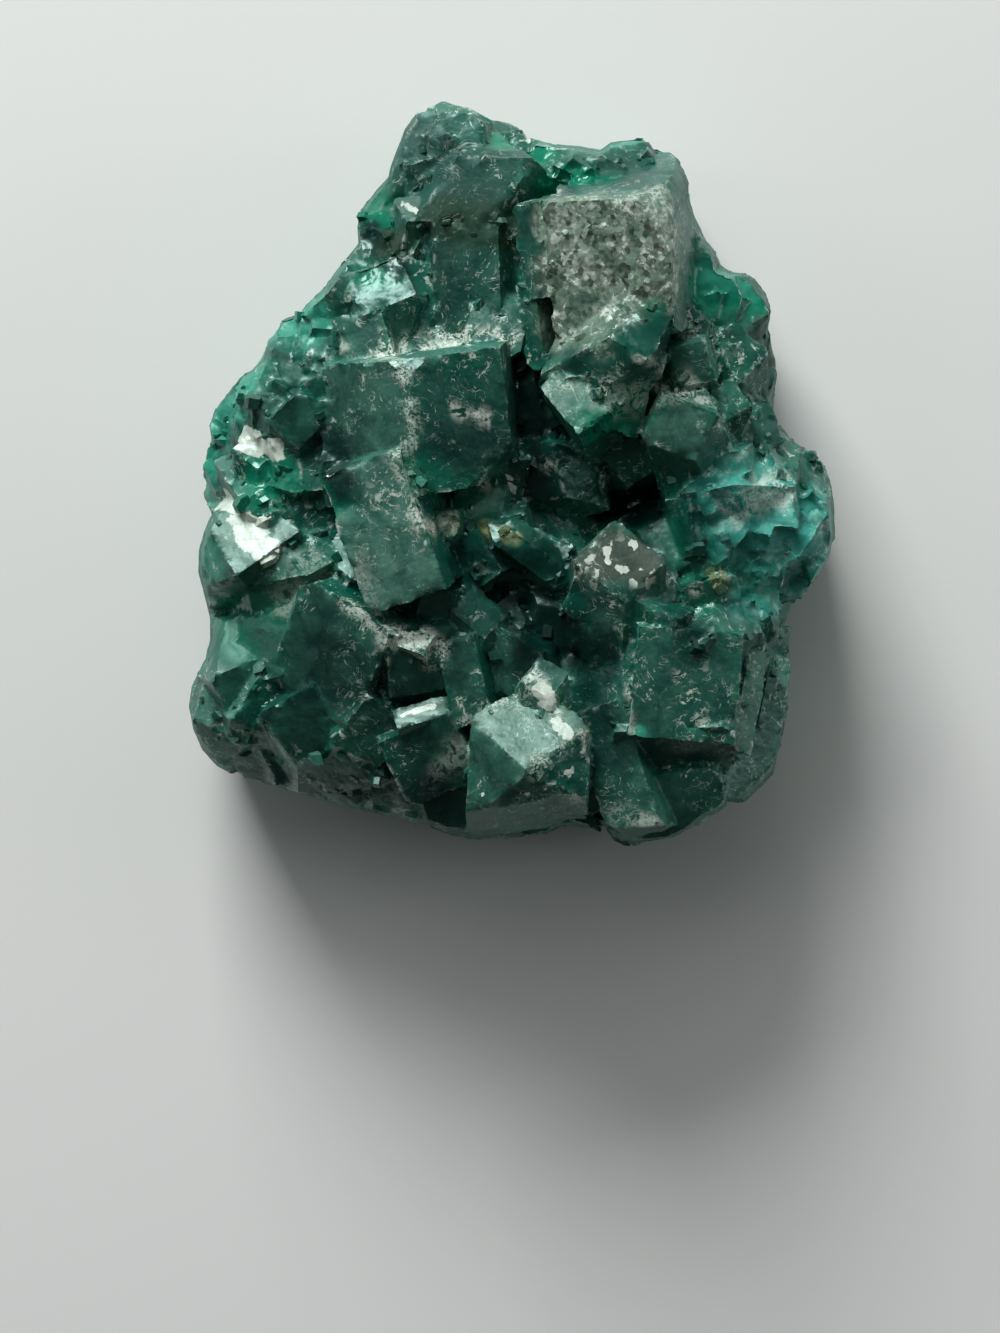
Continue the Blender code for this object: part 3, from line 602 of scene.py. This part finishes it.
def grain_mesh(faces, source, looks, low, high):
    """All small crystals as one mesh, with the attributes of the places where they stand."""
    rng = np.random.default_rng(SEED + 1)
    forms = [grain_form(rng) for _ in range(GRAIN_FORMS)]
    centres, normals = grain_places(faces, source, rng)
    weights = region_weights(source, centres)
    numbers = source.face_of[[source.tree.find_nearest(point)[2] for point in centres]]
    all_points, all_faces, all_values = [], [], []
    total = 0
    for index, (centre, normal) in enumerate(zip(centres, normals)):
        points, triangles = forms[rng.integers(GRAIN_FORMS)]
        size = GRAIN_SIZES[0] + (GRAIN_SIZES[1] - GRAIN_SIZES[0]) * rng.random() ** 2
        axis = Vector(normal + 0.8 * unit(rng.normal(size=(1, 3)))[0]).normalized()
        turn = axis.to_track_quat("Z", "Y").to_matrix() @ Matrix.Rotation(rng.uniform(0, math.tau), 3, "Z")
        placed = points * size * np.array((1, 1, rng.uniform(1.0, 1.6))) @ np.array(turn).T
        placed = placed + centre - normal * 0.6 * size
        if (placed < low + (0, 0, 0.05)).any() or (placed > high).any():
            continue
        all_points.append(placed)
        all_faces.append(triangles + total)
        total += len(points)
        own = [0.6, 0.0, looks[numbers[index], 0] * 0.6 + 0.4 * rng.random(), rng.random(), 0.0]
        own += [weights[kind][index] for kind in KINDS]
        all_values.append(np.tile(own, (len(points), 1)))
    mesh = bpy.data.meshes.new("small_crystals")
    mesh.from_pydata(np.concatenate(all_points).tolist(), [], np.concatenate(all_faces).tolist())
    values = np.concatenate(all_values)
    for column, name in enumerate(("ridge", "steep", "veil", "bright", "glint") + KINDS):
        store(mesh, name, values[:, column])
    return mesh


class Tree:
    """Short words for making a node material."""

    def __init__(self, material):
        material.use_nodes = True
        self.tree = material.node_tree
        self.tree.nodes.clear()

    def add(self, kind, **settings):
        node = self.tree.nodes.new(kind)
        for key, value in settings.items():
            setattr(node, key, value)
        return node

    def put(self, socket, value):
        if isinstance(value, bpy.types.NodeSocket):
            self.tree.links.new(value, socket)
        else:
            socket.default_value = value

    def attribute(self, name):
        return self.add("ShaderNodeAttribute", attribute_name=name).outputs["Fac"]

    def maths(self, operation, a, b=0.0, clamp=False):
        node = self.add("ShaderNodeMath", operation=operation, use_clamp=clamp)
        self.put(node.inputs[0], a)
        self.put(node.inputs[1], b)
        return node.outputs[0]

    def product(self, first, *others):
        for other in others:
            first = self.maths("MULTIPLY", first, other)
        return first

    def vector_maths(self, operation, a, b=(0, 0, 0), scale=None):
        node = self.add("ShaderNodeVectorMath", operation=operation)
        self.put(node.inputs[0], a)
        self.put(node.inputs[1], b)
        if scale is not None:
            self.put(node.inputs["Scale"], scale)
        return node.outputs[0]

    def ramp(self, value, low, high, to_low=0.0, to_high=1.0):
        node = self.add("ShaderNodeMapRange", interpolation_type="SMOOTHSTEP")
        for socket, number in zip(node.inputs, (value, low, high, to_low, to_high)):
            self.put(socket, number)
        return node.outputs["Result"]

    def noise(self, vector, scale, detail=2.0, rough=0.5, distortion=0.0):
        node = self.add("ShaderNodeTexNoise")
        self.put(node.inputs["Vector"], vector)
        self.put(node.inputs["Scale"], scale)
        self.put(node.inputs["Detail"], detail)
        self.put(node.inputs["Roughness"], rough)
        self.put(node.inputs["Distortion"], distortion)
        return node.outputs["Fac"]

    def cells(self, vector, scale):
        node = self.add("ShaderNodeTexVoronoi", feature="F1")
        self.put(node.inputs["Vector"], vector)
        self.put(node.inputs["Scale"], scale)
        return node

    def most(self, first, *others):
        for other in others:
            first = self.maths("MAXIMUM", first, other)
        return first

    def channels(self, colour):
        node = self.add("ShaderNodeSeparateColor")
        self.put(node.inputs[0], colour)
        return node.outputs

    def blend(self, share, a, b):
        node = self.add("ShaderNodeMix", data_type="RGBA")
        self.put(node.inputs["Factor"], share)
        self.put(node.inputs[6], a)
        self.put(node.inputs[7], b)
        return node.outputs[2]

    def bump(self, height, distance, strength, normal=None):
        node = self.add("ShaderNodeBump")
        self.put(node.inputs["Height"], height)
        self.put(node.inputs["Distance"], distance)
        self.put(node.inputs["Strength"], strength)
        if normal is not None:
            self.put(node.inputs["Normal"], normal)
        return node.outputs["Normal"]


DEEP = (0.0010, 0.030, 0.024, 1)
BODY = (0.0015, 0.105, 0.077, 1)
EMERALD = (0.0008, 0.235, 0.132, 1)
MINT = (0.035, 0.350, 0.240, 1)
BEIGE = (0.200, 0.275, 0.205, 1)
SMOKE = (0.085, 0.110, 0.088, 1)
# Painted glow of light through the thin rim, for the steep side walls.
PAINTED_WALL_GLOW = (0.004, 0.225, 0.158, 1)
TEAL = (0.032, 0.430, 0.350, 1)
# Painted shade colour for hollows and crevices.
PAINTED_SHADE_BLACK = (0.0004, 0.0060, 0.0060, 1)
OLIVE = (0.016, 0.042, 0.018, 1)
# Frost colour, partly a painted grey sheen of reflected room light.
VEIL_AND_SHEEN = (0.078, 0.200, 0.152, 1)
WHITE = (0.620, 0.700, 0.620, 1)
CRUST = (0.330, 0.390, 0.170, 1)
# Painted highlight colour for the glinting faces.
PAINTED_GLINT_COLOUR = (0.330, 0.400, 0.345, 1)


def dioptase_material():
    material = bpy.data.materials.new("dioptase_faces")
    t = Tree(material)
    place = t.add("ShaderNodeTexCoord").outputs["Object"]
    region = {kind: t.attribute(kind) for kind in KINDS}
    rim, steep, veil, bright, glint = (
        t.attribute(name) for name in ("ridge", "steep", "veil", "bright", "glint")
    )
    ridge = t.maths("POWER", rim, 3.0)
    wide = t.noise(place, 260, 3, 0.55)
    middle = t.noise(place, 900, 4, 0.66, 0.4)
    lace = t.noise(place, 1700, 5, 0.76, 0.6)
    fine = t.noise(place, 3400, 2, 0.6)
    dust = t.noise(place, 9000, 1, 0.7)
    # Clear green, deep colour and painted shade get less frost and fewer white marks.
    pure = t.most(region["green"], region["painted_shade"], t.product(region["deep"], 0.8))
    not_pure = t.maths("SUBTRACT", 1.0, pure)

    # The stone itself: dark inside, with a painted glow along the edges where light would pass through thin stone.
    colour = t.blend(t.ramp(t.maths("ADD", t.product(bright, 0.35), wide), 0.42, 1.0), DEEP, BODY)
    colour = t.blend(t.ramp(middle, 0.35, 0.8, 0.0, 0.35), colour, EMERALD)
    clusters = t.ramp(t.noise(place, 420, 2, 0.5), 0.50, 0.68)
    painted_glow = t.product(rim, t.ramp(clusters, 0.0, 1.0, 0.10, 0.50))
    colour = t.blend(painted_glow, colour, EMERALD)
    # Painted glow: brighter green on the steep side walls, for light through the thin rim.
    colour = t.blend(t.product(steep, t.ramp(wide, 0.35, 0.6, 0.4, 0.9)), colour, PAINTED_WALL_GLOW)
    colour = t.blend(region["teal"], colour, TEAL)
    # Clear emerald, partly a painted glow of light coming through thin stone.
    colour = t.blend(region["green"], colour, EMERALD)
    # Deep colour of the thick stone; along the bottom edge it is painted shade.
    colour = t.blend(region["deep"], colour, DEEP)
    colour = t.blend(region["olive"], colour, OLIVE)

    # The thin frost on the faces, with a painted grey sheen of reflected room light.
    veil_and_sheen = t.product(t.ramp(middle, 0.32, 0.72, 0.35, 1.0), veil, not_pure)
    colour = t.blend(veil_and_sheen, colour, VEIL_AND_SHEEN)
    # Mint: pale frosted green, partly a painted glow at the thin rims.
    colour = t.blend(t.product(region["mint"], t.ramp(middle, 0.2, 0.6, 0.4, 1.0)), colour, MINT)
    colour = t.blend(t.product(region["sugar"], t.ramp(middle, 0.3, 0.65, 0.55, 1.0)), colour, BEIGE)
    colour = t.blend(t.product(region["spangle"], t.ramp(middle, 0.3, 0.65, 0.6, 1.0)), colour, SMOKE)
    # Painted shade: near black laid over the hollows and crevices.
    colour = t.blend(t.product(region["painted_shade"], 0.92), colour, PAINTED_SHADE_BLACK)
    colour = t.blend(t.product(region["crust"], t.ramp(fine, 0.3, 0.6, 0.3, 1.0)), colour, CRUST)

    # White marks: worn edges, flakes, dust and thin veins, with painted sparkle on the sugary and spangled faces.
    edge = t.product(t.ramp(ridge, 0.3, 0.95), t.ramp(fine, 0.48, 0.62), t.ramp(wide, 0.42, 0.64, 0.03, 0.7))
    flake = t.product(t.ramp(lace, 0.59, 0.61), t.ramp(clusters, 0.1, 0.9, 0.04, 0.75), not_pure)
    rime = t.product(region["rime"], t.ramp(rim, 0.28, 0.66), t.ramp(lace, 0.46, 0.50), t.ramp(dust, 0.40, 0.52))
    powder = t.product(t.ramp(dust, 0.56, 0.68), t.ramp(fine, 0.42, 0.62), t.ramp(clusters, 0.0, 0.6, 0.12, 0.6))
    powder = t.product(powder, t.most(veil, region["frost"], region["teal"]), not_pure)
    bend = t.noise(place, 560, 3, 0.68, 1.6)
    vein = t.ramp(t.maths("ABSOLUTE", t.maths("SUBTRACT", bend, 0.5)), 0.003, 0.010, 0.8, 0.0)
    vein = t.product(vein, t.ramp(fine, 0.42, 0.56), t.ramp(wide, 0.42, 0.56), not_pure)
    cloudy = t.product(region["teal"], t.ramp(lace, 0.46, 0.60), t.ramp(middle, 0.42, 0.60), 0.45)
    frost = t.product(region["frost"], t.ramp(lace, 0.44, 0.50), t.ramp(dust, 0.34, 0.50, 0.4, 1.0))
    facets = t.cells(place, 5600)
    grain = t.channels(facets.outputs["Color"])[0]
    patches = t.ramp(middle, 0.44, 0.56, 0.15, 1.0)
    # White specks on the sugary crust: frosted crumbs, partly painted sparkle of tiny facets.
    sugar = t.most(t.product(t.ramp(grain, 0.80, 0.84), 0.7), t.ramp(lace, 0.545, 0.565))
    sugar = t.product(region["sugar"], sugar, patches)
    # Painted glints: white ovals on the spangled block, for sparkles of light off tiny facets.
    warp = t.add("ShaderNodeTexNoise")
    t.put(warp.inputs["Vector"], place)
    t.put(warp.inputs["Scale"], 2600.0)
    stretched = t.vector_maths("MULTIPLY", place, (2300, 1500, 2300))
    spangle_cells = t.cells(t.vector_maths("ADD", stretched, t.vector_maths("SCALE", warp.outputs["Color"], scale=0.9)), 1.0)
    spangle_glint = t.product(t.ramp(spangle_cells.outputs["Distance"], 0.34, 0.40, 1.0, 0.0), region["spangle"])
    spangle_glint = t.product(spangle_glint, t.ramp(t.channels(spangle_cells.outputs["Color"])[1], 0.25, 0.35))
    white = t.most(edge, flake, powder, vein, cloudy, frost, rime, sugar, spangle_glint)
    # Fewer white marks where shade is painted.
    white = t.maths("MULTIPLY", white, t.maths("SUBTRACT", 1.0, t.product(region["painted_shade"], 0.7)))
    colour = t.blend(white, colour, WHITE)
    # Painted highlight: silvery grey on the glinting faces, ragged white on the glint spots.
    painted_glint = t.product(glint, t.ramp(middle, 0.3, 0.62, 0.3, 0.9))
    colour = t.blend(painted_glint, colour, PAINTED_GLINT_COLOUR)
    ragged = t.maths("ADD", region["painted_glint"], t.maths("SUBTRACT", lace, 0.5))
    painted_highlight = t.product(t.ramp(ragged, 0.45, 0.55), t.ramp(fine, 0.3, 0.5, 0.6, 0.9))
    colour = t.blend(painted_highlight, colour, WHITE)
    shine = t.most(glint, painted_highlight, spangle_glint)

    rough = t.ramp(middle, 0.3, 0.75, 0.22, 0.42)
    rough = t.maths("ADD", rough, t.product(veil, 0.12))
    rough = t.maths("MAXIMUM", rough, t.product(white, 0.45))
    rough = t.maths("MULTIPLY", rough, t.ramp(shine, 0.0, 1.0, 1.0, 0.75))
    rough = t.most(rough, t.product(region["dull"], 0.62), t.product(steep, 0.85), t.product(region["teal"], 0.55))
    rough = t.maths("MULTIPLY", rough, t.ramp(region["green"], 0.0, 1.0, 1.0, 0.6))
    see = t.ramp(t.most(veil_and_sheen, white, painted_glint, painted_highlight), 0.0, 0.8, 0.28, 0.04)
    see = t.product(see, t.ramp(region["sugar"], 0.0, 1.0, 1.0, 0.35))

    normal = t.bump(t.noise(place, 1500, 2, 0.62), 0.00009, 0.55)
    lines = t.noise(t.vector_maths("MULTIPLY", place, (900, 5200, 900)), 1.0, 1, 0.5)
    normal = t.bump(t.product(lines, t.most(glint, region["painted_glint"], 0.15)), 0.00004, 0.6, normal)
    twist = t.vector_maths("SUBTRACT", facets.outputs["Color"], (0.5, 0.5, 0.5))
    amount = t.maths("ADD", t.product(region["sugar"], 0.6), t.product(white, 0.25))
    twist = t.vector_maths("SCALE", twist, scale=amount)
    normal = t.vector_maths("NORMALIZE", t.vector_maths("ADD", normal, twist))

    shader = t.add("ShaderNodeBsdfPrincipled")
    t.put(shader.inputs["Base Color"], colour)
    t.put(shader.inputs["Roughness"], rough)
    t.put(shader.inputs["Transmission Weight"], see)
    t.put(shader.inputs["Normal"], normal)
    shader.inputs["IOR"].default_value = 1.67
    shader.inputs["Specular IOR Level"].default_value = 0.31
    shader.inputs["Specular Tint"].default_value = (0.68, 1.0, 0.92, 1)
    volume = t.add("ShaderNodeVolumeAbsorption")
    volume.inputs["Color"].default_value = (0.0, 0.84, 0.66, 1)
    volume.inputs["Density"].default_value = 800.0
    out = t.add("ShaderNodeOutputMaterial")
    t.put(out.inputs["Surface"], shader.outputs[0])
    t.put(out.inputs["Volume"], volume.outputs[0])
    return material


def add_piece(name, mesh, material):
    mesh.name = name
    mesh.transform(Matrix.Scale(MM, 4))
    mesh.materials.clear()
    mesh.materials.append(material)
    obj = bpy.data.objects.new(name, mesh)
    bpy.context.scene.collection.objects.link(obj)
    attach(obj, "root")
    return obj


def add_floor():
    bm = bmesh.new()
    bmesh.ops.create_grid(bm, x_segments=1, y_segments=1, size=1.5)
    mesh = bpy.data.meshes.new("floor")
    bm.to_mesh(mesh)
    bm.free()
    floor = bpy.data.objects.new("floor", mesh)
    floor.location.z = -0.00003
    material = bpy.data.materials.new("floor_paper")
    material.use_nodes = True
    shader = material.node_tree.nodes["Principled BSDF"]
    shader.inputs["Base Color"].default_value = (0.80, 0.82, 0.80, 1)
    shader.inputs["Roughness"].default_value = 0.7
    mesh.materials.append(material)
    bpy.context.scene.collection.objects.link(floor)


def add_softbox(name, azimuth, from_zenith, distance, width, height, radiance, tint=(1, 1, 1)):
    """An area light that looks at the middle of the cluster. azimuth is the compass side it stands on."""
    data = bpy.data.lights.new(name, "AREA")
    data.shape = "RECTANGLE"
    data.size = width
    data.size_y = height
    data.energy = math.pi * width * height * radiance
    data.color = tint
    light = bpy.data.objects.new(name, data)
    side = Vector((math.cos(math.radians(azimuth)), math.sin(math.radians(azimuth)), 0))
    away = side * math.sin(math.radians(from_zenith)) + Vector((0, 0, math.cos(math.radians(from_zenith))))
    light.location = Vector((0, 0, 0.008)) + away * distance
    light.rotation_euler = away.to_track_quat("Z", "Y").to_euler()
    light.visible_camera = False
    bpy.context.scene.collection.objects.link(light)


def add_world():
    """A soft grey room that is brighter on the +Y side."""
    world = bpy.data.worlds.new("studio")
    bpy.context.scene.world = world
    world.use_nodes = True
    nodes, links = world.node_tree.nodes, world.node_tree.links
    background = nodes["Background"]
    place = nodes.new("ShaderNodeTexCoord")
    split = nodes.new("ShaderNodeSeparateXYZ")
    links.new(place.outputs["Generated"], split.inputs[0])
    lift = nodes.new("ShaderNodeMapRange")
    lift.inputs["From Min"].default_value = -0.15
    lift.inputs["From Max"].default_value = 0.9
    lift.inputs["To Min"].default_value = 0.05
    lift.inputs["To Max"].default_value = 0.36
    links.new(split.outputs["Y"], lift.inputs["Value"])
    links.new(lift.outputs["Result"], background.inputs["Strength"])
    background.inputs["Color"].default_value = (0.96, 1.0, 0.99, 1)


def add_camera():
    data = bpy.data.cameras.new("camera")
    data.sensor_width = SENSOR_MM
    data.lens = SENSOR_MM * FOCAL_PX / IMAGE_HEIGHT
    data.clip_start = 0.01
    data.clip_end = 10
    camera = bpy.data.objects.new("camera", data)
    camera.location = Vector(EYE) * MM
    bpy.context.scene.collection.objects.link(camera)
    bpy.context.scene.camera = camera


def main():
    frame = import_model()
    low, high = (np.array(corner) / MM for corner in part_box(NODE))
    source = Source(frame["nodes"][NODE])
    looks = face_looks(source)
    faces = face_mesh(source, low, high)
    add_attributes(faces, source, looks)
    faces.shade_smooth()
    faces.set_sharp_from_angle(angle=math.radians(SHARP_ANGLE))
    grains = grain_mesh(faces, source, looks, low, high)
    print("triangles", len(faces.polygons), len(grains.polygons))
    material = dioptase_material()
    crystals = add_piece("dioptase_crystals", faces, material)
    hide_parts(NODE)
    add_piece("small_crystals", grains, material)
    add_floor()
    add_world()
    add_softbox("key", 109, 60, 0.32, 0.15, 0.15, 17.0)
    add_softbox("overhead", 108, 33, 0.50, 0.28, 0.24, 1.0)
    add_softbox("right", 5, 72, 0.35, 0.12, 0.22, 1.6)
    add_softbox("left", 165, 48, 0.40, 0.12, 0.14, 1.2)
    add_camera()
    bpy.context.scene.view_settings.view_transform = "Standard"


main()
